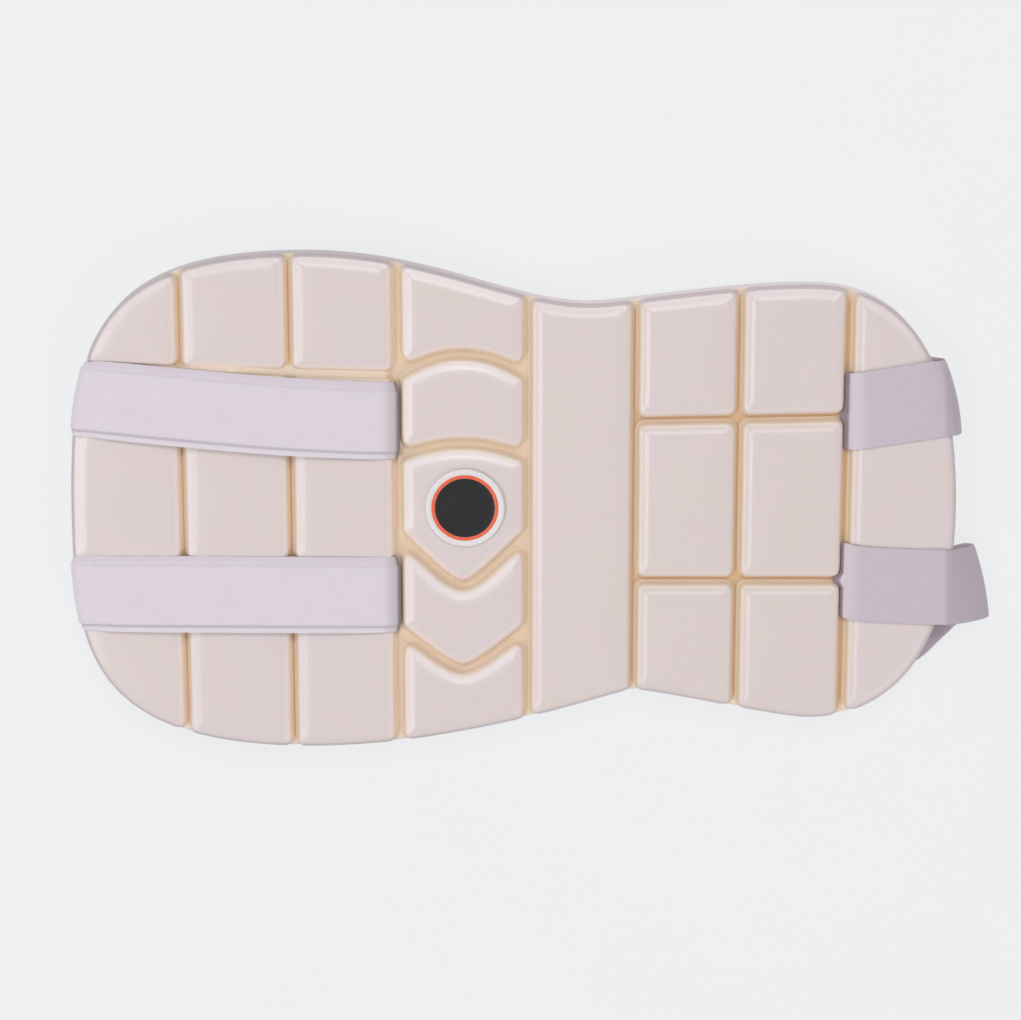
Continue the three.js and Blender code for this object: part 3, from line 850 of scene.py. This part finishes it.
def ribbon_piece(name, ribbon, outer, inner, material):
    """A closed strap from a ribbon and the height of its outer and inner face at each point across."""
    across = len(ribbon.across)
    count = 2 * across
    front = ribbon.points + ribbon.out * outer[None, :, None]
    back = ribbon.points - ribbon.out * inner[None, :, None]
    points = np.concatenate([front, back[:, ::-1]], axis=1).reshape(-1, 3)
    points[:, 2] = np.maximum(points[:, 2], FLOOR_GAP)
    faces = wall_faces(len(ribbon.along), count)
    finish = (len(ribbon.along) - 1) * count
    for step in range(across - 1):
        facing = count - 1 - step
        faces.append((step, facing, facing - 1, step + 1))
        faces.append((finish + step, finish + step + 1, finish + facing - 1, finish + facing))
    if ribbon.outside > 0:
        faces = [tuple(reversed(face)) for face in faces]
    piece = new_piece(name, points, faces, material)
    wide = np.concatenate([ribbon.across, ribbon.across[::-1]])
    place = np.column_stack([np.tile(wide, len(ribbon.along)), np.repeat(ribbon.along, count)]) * MM
    layer = piece.data.uv_layers.new(name="strap")
    corners = np.zeros(len(piece.data.loops), np.int32)
    piece.data.loops.foreach_get("vertex_index", corners)
    layer.data.foreach_set("uv", place[corners].astype(np.float32).ravel())
    return piece


# %% [markdown]
# ## Loop tape
# The two white bands are loop tape: a woven band with flat selvedges and a raised field of fine pile,
# sewn along both sides. The pile field is raised in the mesh, because its step catches the light along
# the lower edge, and the pile itself is a fuzzy noise with sheen.

# %% Tape finish
# Where the finish changes across the tape and along it, in metres
PILE_EDGE = (0.0128, 0.0142)
SEAM_START = (0.0138, 0.0145)
SEAM_STOP = (0.0150, 0.0158)
EDGE_LINE = (0.0152, 0.0162)
# Painted shade where the tape's end curves down into its groove, darkest on the tucked end
CURVED_END_SHADE = (0.0045, 0.0110)
TUCKED_END_SHADOW = (0.0024, 0.0046)
# Turn of the twill's wave, in radians for each metre
TWILL_PITCH = 5200.0


def pile_tape():
    soft = {"Sheen_Weight": 0.3, "Sheen_Roughness": 0.5, "Specular_IOR_Level": 0.15}
    material, shader, start = new_finish("pile_tape", **soft)
    place, across, along = start.on_strap()
    distance = across.sum("ABSOLUTE", across)
    field = 1 - distance.ease(*PILE_EDGE)
    fuzz = speckle(place, 1500.0, 4.0)
    patches = speckle(place, 70.0)
    slanted = (along + across) * TWILL_PITCH
    weave = slanted.sum("SINE", slanted) * 0.25 + 0.5
    cloth = (patches * 0.5 + fuzz * 0.5).blend(paint(214, 204, 213), paint(228, 219, 228))
    band = (weave * 0.6 + fuzz * 0.4).blend(paint(206, 195, 206), paint(228, 220, 229))
    height = fuzz * field + weave * (1 - field)
    low = 0.0 - across
    seam = low.ease(*SEAM_START) * (1 - low.ease(*SEAM_STOP))
    edge = low.ease(*EDGE_LINE)
    seamed = (seam * 0.8).blend(field.blend(band, cloth), paint(192, 181, 191))
    lined = (edge * 0.8).blend(seamed, paint(226, 218, 225))
    # Painted shade on the tape's end as it curves down, and a darker painted shadow on the tucked end
    shaded_end = (0.6 - along.ease(*CURVED_END_SHADE) * 0.6).blend(lined, paint(190, 181, 186))
    colour = (1 - along.ease(*TUCKED_END_SHADOW)).blend(shaded_end, paint(140, 128, 131))
    feed(shader, Base_Color=colour, Roughness=0.75 + fuzz * 0.2, Normal=relief(height, 0.5, 0.0003))
    return material


# %% Tapes
TAPE_WIDTH = 35.0
UPPER_SELVEDGE = 4.0
LOWER_SELVEDGE = 3.0
TAPE_INNER = 0.72
BAND_OUTER = 0.15
PILE_OUTER = 0.85
PILE_STEP = 0.7
TAPE_HALF = TAPE_WIDTH / 2
PILE_LOW = (-TAPE_HALF + LOWER_SELVEDGE - PILE_STEP, -TAPE_HALF + LOWER_SELVEDGE + PILE_STEP)
PILE_HIGH = (TAPE_HALF - UPPER_SELVEDGE - PILE_STEP, TAPE_HALF - UPPER_SELVEDGE + PILE_STEP)
# The last part of the upper selvedge is pressed flat, and both edges are rounded
FLAT_SELVEDGE = 0.85
FLAT_REACH = 3.2
TAPE_ROUND = 0.8
OUTER_ROUND = 0.3
INNER_ROUND = 0.2
PLAIN_FIELD = 6.0
TAPE_STEP = 0.8

# Route rows: x, y, z of the middle, lean of the cross line in degrees, and True where it hugs the pad
UPPER_TAPE = [
    (-50.9, 42.9, 16.3, 0), (-50.9, 42.9, 17.7, 0), (-51.7, 42.9, 19.4, 0), (-54.6, 43, 20.8, 0.5),
    (-62, 43.2, 21.3, 2), (-99, 45, 21.3, 4), (-150, 49.4, 21.3, 5), (-180, 52.3, 21.3, 8),
    (7, 52.9, 21.2, 11, True), (2.8, 52.9, 20.6, 12.6, True), (0.6, 52.9, 18.9, 13.3, True),
    (-0.6, 52.8, 15.5, 13.6, True), (-1, 52.7, 10.5, 13.6, True), (-0.9, 52.6, 6, 13.6, True),
    (0.5, 52.5, 3.6, 13.5, True), (3.6, 52.2, 2.7, 13.2, True), (11, 51.2, 2.6, 12.8, True),
    (-160, 45.7, 2.6, 12.2), (-126, 38.4, 2.6, 12),
]
LOWER_TAPE = [
    (-50.9, -37.7, 16.3, 0), (-50.9, -37.7, 17.7, 0), (-51.7, -37.7, 19.4, 0), (-54.6, -37.7, 20.8, 0),
    (-62, -37.7, 21.3, 0), (-120, -37.3, 21.3, 0), (-183, -37, 21.3, 0),
    (7, -36.9, 21.2, -2, True), (2.8, -37.1, 20.6, -3, True), (0.6, -37.3, 18.9, -3.4, True),
    (-0.6, -37.5, 15.5, -3.4, True), (-1, -37.5, 10.5, -3.4, True), (-0.9, -37.5, 6, -3.4, True),
    (0.5, -37.5, 3.6, -3.4, True), (3.6, -37.6, 2.7, -1, True), (11, -37.8, 2.6, 2, True),
    (-160, -40.2, 2.6, 4), (-126, -43, 2.6, 5),
]
# Row of the route and how far the tape's lower side stands off the foam there
UPPER_LOOSE = {4: 1.0, 5: 2.4, 6: 2.4, 7: 1.2}
LOWER_LOOSE = {4: 1.0, 5: 2.4, 6: 1.2}


def tape_section():
    """Points across the tape, with the height of its outer and inner face at each."""
    across = np.unique(np.concatenate([
        np.linspace(-TAPE_HALF, -TAPE_HALF + TAPE_ROUND, 3),
        np.linspace(*PILE_LOW, 6),
        np.linspace(-TAPE_HALF + PLAIN_FIELD, TAPE_HALF - PLAIN_FIELD, 13),
        np.linspace(*PILE_HIGH, 6),
        np.linspace(TAPE_HALF - FLAT_REACH, TAPE_HALF, 8),
    ]))
    field = ease(across, *PILE_LOW) * (1 - ease(across, *PILE_HIGH))
    edge = ease(np.abs(across), TAPE_HALF - TAPE_ROUND, TAPE_HALF)
    pressed = FLAT_SELVEDGE * ease(across, TAPE_HALF - FLAT_REACH, TAPE_HALF)
    outer = BAND_OUTER + (PILE_OUTER - BAND_OUTER) * field - OUTER_ROUND * edge - pressed
    inner = TAPE_INNER + INNER_ROUND * edge + 0.5 * pressed
    return across, outer, inner


TAPE_FINISH = pile_tape()
tape_across, tape_outer, tape_inner = tape_section()
tapes = {}
tape_rows = [("upper_tape", UPPER_TAPE, UPPER_LOOSE), ("lower_tape", LOWER_TAPE, LOWER_LOOSE)]
for name, route, loose in tape_rows:
    ribbon = Ribbon(route, tape_across, TAPE_STEP, outside=-1, loose=loose)
    piece = ribbon_piece("loop_" + name, ribbon, tape_outer, tape_inner, TAPE_FINISH)
    tapes[name] = (settle(piece, "tape", name), ribbon)
    print(name, "length, mm:", round(ribbon.length, 1))

# %% [markdown]
# ## Stitches
# Each tape is sewn with one row of thread inside each selvedge. Hundreds of equal stitches on a line are
# work for Geometry Nodes: the tree steps along a line and puts a small thread bead on every step, with a
# little wander so that the row looks sewn and not printed. A node group is a net like a material, so the
# same class builds it.

# %% Thread finish
def sewing_thread():
    strands = {"scale": 2600.0, "rough": 0.5, "spread": 0.2, "bump": 0.4}
    white = (paint(218, 209, 218), paint(236, 230, 236))
    return speckled_finish("sewing_thread", *white, **strands, Sheen_Weight=0.2, Specular_IOR_Level=0.3)


# %% Node groups
def tree_inputs(name, kinds):
    """The named inputs of a new node group."""
    tree = bpy.data.node_groups.new(name, "GeometryNodeTree")
    for socket, kind in kinds.items():
        tree.interface.new_socket(socket, in_out="INPUT", socket_type="NodeSocket" + kind)
    tree.interface.new_socket("Shape", in_out="OUTPUT", socket_type="NodeSocketGeometry")
    given = tree.nodes.new("NodeGroupInput")
    return {socket: Shade(tree, given.outputs[socket]) for socket in kinds}


def finish_tree(shape, finish):
    """Ends a node group with plain geometry in its finish."""
    real = shape.node("GeometryNodeRealizeInstances", {"Geometry": shape})
    finished = shape.node("GeometryNodeSetMaterial", {"Geometry": real, "Material": finish})
    result = shape.tree.nodes.new("NodeGroupOutput")
    shape.tree.links.new(finished.socket, result.inputs["Shape"])
    return shape.tree


# %% Stitch tree
BEAD = {"Segments": 8, "Rings": 6, "Radius": 0.5}


def stitch_tree():
    """Stitches on every line of the incoming mesh."""
    sizes = dict.fromkeys(("Pitch", "Stitch length", "Thread", "Wander"), "Float")
    given = tree_inputs("stitch_row", {"Lines": "Geometry", **sizes, "Seed": "Int", "Finish": "Material"})
    lines = given["Lines"]
    curve = lines.node("GeometryNodeMeshToCurve", {"Mesh": lines})
    steps = {"Curve": curve, "Length": given["Pitch"]}
    stepped = lines.node("GeometryNodeResampleCurve", steps, mode="LENGTH")
    tangent = lines.node("GeometryNodeInputTangent")
    facing = lines.node("FunctionNodeAlignRotationToVector", {"Vector": tangent}, axis="Z")
    limits = {"Min_001": given["Wander"] * -1.0, "Max_001": given["Wander"], "Seed": given["Seed"]}
    drift = lines.node("FunctionNodeRandomValue", limits, "Value_001", data_type="FLOAT")
    turn = lines.node("ShaderNodeCombineXYZ", {"X": drift, "Y": drift})
    euler = lines.node("FunctionNodeEulerToRotation", {"Euler": turn})
    turns = {"Rotation": facing, "Rotate By": euler}
    wandering = lines.node("FunctionNodeRotateRotation", turns, rotation_space="LOCAL")
    bead = lines.node("GeometryNodeMeshUVSphere", BEAD, "Mesh")
    sides = {"X": given["Thread"], "Y": given["Thread"], "Z": given["Stitch length"]}
    size = lines.node("ShaderNodeCombineXYZ", sides)
    shaped = lines.node("GeometryNodeTransform", {"Geometry": bead, "Scale": size})
    places = {"Points": stepped, "Instance": shaped, "Rotation": wandering}
    placed = lines.node("GeometryNodeInstanceOnPoints", places)
    smooth = lines.node("GeometryNodeSetShadeSmooth", {"Geometry": placed})
    return finish_tree(smooth, given["Finish"])


STITCHES = stitch_tree()
THREAD_FINISH = sewing_thread()
STITCH = {"Pitch": 3.1 * MM, "Stitch length": 2.5 * MM, "Thread": 0.55 * MM, "Wander": 0.05, "Seed": 7}


def apply_tree(piece, tree, values):
    """Runs a node group on a piece and leaves the result as a plain mesh."""
    modifier = piece.modifiers.new(tree.name, "NODES")
    modifier.node_group = tree
    for item in tree.interface.items_tree:
        if item.item_type == "SOCKET" and item.in_out == "INPUT" and item.name in values:
            modifier[item.identifier] = values[item.name]
    bpy.context.view_layer.update()
    evaluated = piece.evaluated_get(bpy.context.evaluated_depsgraph_get())
    mesh = bpy.data.meshes.new_from_object(evaluated)
    piece.modifiers.remove(modifier)
    piece.data = mesh


def sew(name, lines):
    """One piece of stitches along several lines, given in millimetres."""
    points = np.vstack(lines) * MM
    edges = []
    first = 0
    for line in lines:
        edges += [(first + step, first + step + 1) for step in range(len(line) - 1)]
        first += len(line)
    mesh = bpy.data.meshes.new(name)
    mesh.from_pydata(points.tolist(), edges, [])
    piece = add_object(name, mesh)
    apply_tree(piece, STITCHES, {**STITCH, "Finish": THREAD_FINISH})
    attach(piece, "root")
    return piece


# %% Sewn rows
ROW_START = 8.0
THREAD_LIFT = PILE_OUTER - 0.05
for name, (piece, ribbon) in tapes.items():
    rows = [ribbon.line(side, THREAD_LIFT, ROW_START) for side in (PILE_HIGH[0], PILE_LOW[1])]
    stitches = sew("stitches_" + name, rows)
    print(name, "stitch faces:", len(stitches.data.polygons))

# %% [markdown]
# ## Ribbed elastic
# The elastics are thin woven webbing with rubber cords inside, so fine ribs run along them. The ribs are
# real relief: a node group lifts each point of the ribbon by a wave across its width, with the rib's
# width and height as its inputs. They go slack past the pad's end and turn under it.

# %% Elastic finish
# The straps hang free past the pad's end, between these two places in metres, and are painted darker
# there as shade
PAD_END = tuple((DRAWING[0] + place) * MM for place in (195.5, 198.5))
# The pad's end leans, so that place lies this much nearer for every metre up the pad
END_LEAN = 0.03
# Heights between which they leave the floor, and places of the sewn end, painted dark as shade in its
# groove, and of the bend after it, which carries a painted highlight
OFF_FLOOR = (0.002, 0.005)
DARK_END = (0.0026, 0.0042)
BEND_START = (0.003, 0.005)
BEND_STOP = (0.0065, 0.014)
# Turn of the yarns' wave, in radians for each metre, and the width of a rib in millimetres
YARN_PITCH = 7800.0
RIB_WIDTH = 1.25


def ribbed_elastic():
    material, shader, start = new_finish("ribbed_elastic", Sheen_Weight=0.15, Specular_IOR_Level=0.2)
    place, across, along = start.on_strap()
    yarns = along.sum("SINE", along * YARN_PITCH) * 0.5 + 0.5
    cords = across.sum("COSINE", across * (2 * math.pi / (RIB_WIDTH * MM))) * 0.5 + 0.5
    fuzz = speckle(place, 900.0, 3.0)
    thread = (yarns * 0.1 + cords * 0.2 + fuzz * 0.7).blend(paint(196, 183, 193), paint(205, 193, 203))
    at = start.place()
    level = at.part("Z")
    reach = at.part("X")
    up = at.part("Y")
    hanging = (reach + up * END_LEAN).ease(*PAD_END) * level.ease(*OFF_FLOOR)
    bend = along.ease(*BEND_START) * (1 - along.ease(*BEND_STOP))
    # Painted shade on the strap where it hangs past the pad's end
    hanging_shade = (hanging * 0.9).blend(thread, paint(186, 174, 184))
    # Painted highlight on the bend over the groove's shoulder
    lit = (bend * 0.75).blend(hanging_shade, paint(220, 208, 215))
    # Painted shade on the sewn end inside its groove
    colour = (1 - along.ease(*DARK_END)).blend(lit, paint(146, 131, 139))
    weave = relief(yarns * 0.4 + fuzz, 0.25, 0.00015)
    feed(shader, Base_Color=colour, Roughness=0.7 + fuzz * 0.2, Normal=weave)
    return material


# %% Rib tree
RIB_HEIGHT = 0.018


def rib_tree():
    """Lifts a strap's surface in ribs that run along it."""
    sizes = {"Rib width": "Float", "Rib height": "Float"}
    given = tree_inputs("woven_ribs", {"Strap": "Geometry", **sizes, "Finish": "Material"})
    strap = given["Strap"]
    place = strap.node("GeometryNodeInputNamedAttribute", {"Name": "across"}, data_type="FLOAT")
    turn = place.sum("DIVIDE", place, given["Rib width"]) * (2 * math.pi)
    wave = turn.sum("COSINE", turn) * given["Rib height"]
    normal = strap.node("GeometryNodeInputNormal")
    lift = strap.node("ShaderNodeVectorMath", {0: normal, "Scale": wave}, operation="SCALE")
    moved = strap.node("GeometryNodeSetPosition", {"Geometry": strap, "Offset": lift})
    return finish_tree(moved, given["Finish"])


# %% Elastics
ELASTIC_WIDTH = 35.0
ELASTIC_HALF_THICK = 0.55
ELASTIC_STEP = 1.6
ELASTIC_ROUND = 0.7
POINTS_PER_RIB = 4
UPPER_ELASTIC = [
    (150.9, 46.8, 16.1, 0), (151.6, 46.8, 17, 0), (152.8, 46.9, 18.5, 0), (154.8, 47.2, 20.2, -1),
    (157.5, 47.5, 21, -3), (162, 48.2, 21.15, -6), (182, 51.4, 21.15, -10),
    (190, 52.6, 20.9, -12), (196, 52.9, 18.8, -13.5), (199.3, 52.6, 13.5, -14),
    (199.8, 52.2, 8, -14), (198.2, 51.8, 3.2, -14.5), (193.8, 52, 0.9, -15),
    (186, 49.8, 0.7, -15.5), (140, 37.5, 0.7, -14), (80, 26.5, 0.7, -7), (20, 22.5, 0.7, -1),
    (-40, 24.5, 0.7, 5), (-90, 31, 0.7, 10), (-126, 38.4, 0.7, 12), (-172, 48.3, 0.7, 12),
]
LOWER_ELASTIC = [
    (150.9, -31.5, 16.1, 0), (151.6, -31.5, 17, 0), (152.8, -31.6, 18.5, 0), (154.8, -31.8, 20.2, 0),
    (157.5, -32.2, 21, 0), (162, -32.7, 21.15, 0), (186, -33.8, 21.15, -1),
    (196.5, -34.1, 21.1, -1.5), (199.6, -34.3, 20.5, -2.5), (205.4, -34.5, 16.8, -6),
    (212, -34.7, 11, -11), (216.2, -34.9, 5.4, -13), (216.4, -35.1, 2.2, -13.5),
    (213.6, -35, 0.9, -15), (206.5, -37, 0.7, -22), (201.5, -39.2, 0.7, -36),
    (197, -41.9, 0.7, -43), (188, -50.5, 0.7, -44), (178.5, -59.9, 0.7, -44),
    (163, -68, 0.7, -34), (148, -72, 0.7, -18), (130, -72.5, 0.7, -3), (85, -65.5, 0.7, 7),
    (30, -58.5, 0.7, 7.5), (-50, -49.5, 0.7, 6), (-126, -43, 0.7, 5), (-178, -38.5, 0.7, 5),
]
RIBS = rib_tree()
ELASTIC_FINISH = ribbed_elastic()
RIB = {"Rib width": RIB_WIDTH * MM, "Rib height": RIB_HEIGHT * MM, "Finish": ELASTIC_FINISH}
half = ELASTIC_WIDTH / 2
elastic_across = np.linspace(-half, half, POINTS_PER_RIB * round(ELASTIC_WIDTH / RIB_WIDTH) + 1)
rounding = ease(np.abs(elastic_across), half - ELASTIC_ROUND, half)
elastic_face = ELASTIC_HALF_THICK * (1 - 0.5 * rounding)
UPPER_TONGUE = (-2.3, 2.2)
LOWER_TONGUE = (0.1, 3.8)
# Row of the route and how far the fold's middle bows out there
UPPER_BOW = {8: 0.8, 9: 1.5, 10: 1.5, 11: 0.8}
LOWER_BOW = {10: 0.6, 11: 1.1, 12: 1.1, 13: 0.6}
elastic_rows = [
    ("upper_elastic", UPPER_ELASTIC, UPPER_TONGUE, UPPER_BOW),
    ("lower_elastic", LOWER_ELASTIC, LOWER_TONGUE, LOWER_BOW),
]
for name, route, tongue, bowed in elastic_rows:
    ribbon = Ribbon(route, elastic_across, ELASTIC_STEP, outside=1, tongue=tongue, bowed=bowed)
    piece = ribbon_piece("ribbed_" + name, ribbon, elastic_face, elastic_face, ELASTIC_FINISH)
    wide = np.concatenate([elastic_across, elastic_across[::-1]]) * MM
    mark(piece, "across", np.tile(wide, len(ribbon.along)))
    apply_tree(piece, RIBS, RIB)
    settle(piece, "elastic", name)
    print(name, "length, mm:", round(ribbon.length, 1), "faces:", len(piece.data.polygons))

# %% [markdown]
# ## Badge
# A small round badge sits on the middle block. Its place carries a plain roundel: a pale raised rim, a thin
# warm ring and a dark disc. It is turned like a coin on a lathe from one section.

# %% Badge finish
def badge_enamel(name, low, high, rough):
    enamel = {"scale": 900.0, "rough": rough, "spread": 0.12, "bump": 0.15}
    return speckled_finish(name, low, high, **enamel, Specular_IOR_Level=0.5)


# %% Badge
BADGE_FOOT = 20.45
# Radius and height above the foot, from the rim of the underside to the middle, for each of the finishes
PALE, WARM, DARK = range(3)
BADGE_SECTION = {
    PALE: [(17.8, 0.0), (18.0, 0.35), (18.0, 0.95), (17.85, 1.35),
           (17.4, 1.58), (16.7, 1.62), (15.9, 1.55), (15.4, 1.3)],
    WARM: [(15.2, 1.12), (14.8, 1.2), (14.4, 1.24), (14.0, 1.2)],
    DARK: [(13.6, 1.08), (13.3, 1.0), (10.6, 1.06), (7.0, 1.14), (3.5, 1.19)],
}
BADGE_SIDES = 96


def badge():
    turns = np.arange(BADGE_SIDES) * 2 * math.pi / BADGE_SIDES
    spokes = np.column_stack([np.cos(turns), np.sin(turns)])
    centre = DRAWING + np.array(BADGE_PLACE)
    rows = [(*row, kind) for kind, section in BADGE_SECTION.items() for row in section]
    rings = [np.column_stack([centre + spokes * radius, np.full(BADGE_SIDES, BADGE_FOOT + up)])
             for radius, up, kind in rows]
    faces = wall_faces(len(rings), BADGE_SIDES)
    kinds = [kind for radius, up, kind in rows[:-1] for side in range(BADGE_SIDES)]
    last = (len(rings) - 1) * BADGE_SIDES
    faces.append(tuple(last + side for side in range(BADGE_SIDES)))
    faces.append(tuple(reversed(range(BADGE_SIDES))))
    kinds += [DARK, PALE]
    pale = badge_enamel("badge_pale", paint(222, 216, 218), paint(236, 231, 232), 0.35)
    warm = badge_enamel("badge_warm", paint(226, 92, 58), paint(236, 112, 76), 0.35)
    dark = badge_enamel("badge_dark", paint(22, 21, 24), paint(34, 33, 36), 0.3)
    piece = new_piece("round_badge", np.vstack(rings), faces, pale, warm, dark)
    piece.data.polygons.foreach_set("material_index", kinds)
    return settle(piece, "badge", "badge")


badge()

# %% [markdown]
# ## Floor
# The guard lies on a plain pale floor, wide enough to fill every view. It isn't part of the object. The
# photograph hardly shows a shadow, so the floor is a light table: it glows a little by itself.

# %% Floor
def pale_floor():
    glow = {"Emission_Color": paint(253, 254, 255), "Emission_Strength": 0.76}
    dust = {"scale": 14.0, "rough": 0.85, "spread": 0.1}
    grey = (paint(91, 92, 94), paint(94, 95, 97))
    return speckled_finish("pale_floor", *grey, **dust, Specular_IOR_Level=0.1, **glow)


FLOOR_REACH = 6000.0
corners = [(x * FLOOR_REACH, y * FLOOR_REACH, 0) for x, y in ((-1, -1), (1, -1), (1, 1), (-1, 1))]
floor = new_piece("floor", corners, [(0, 1, 2, 3)], pale_floor())
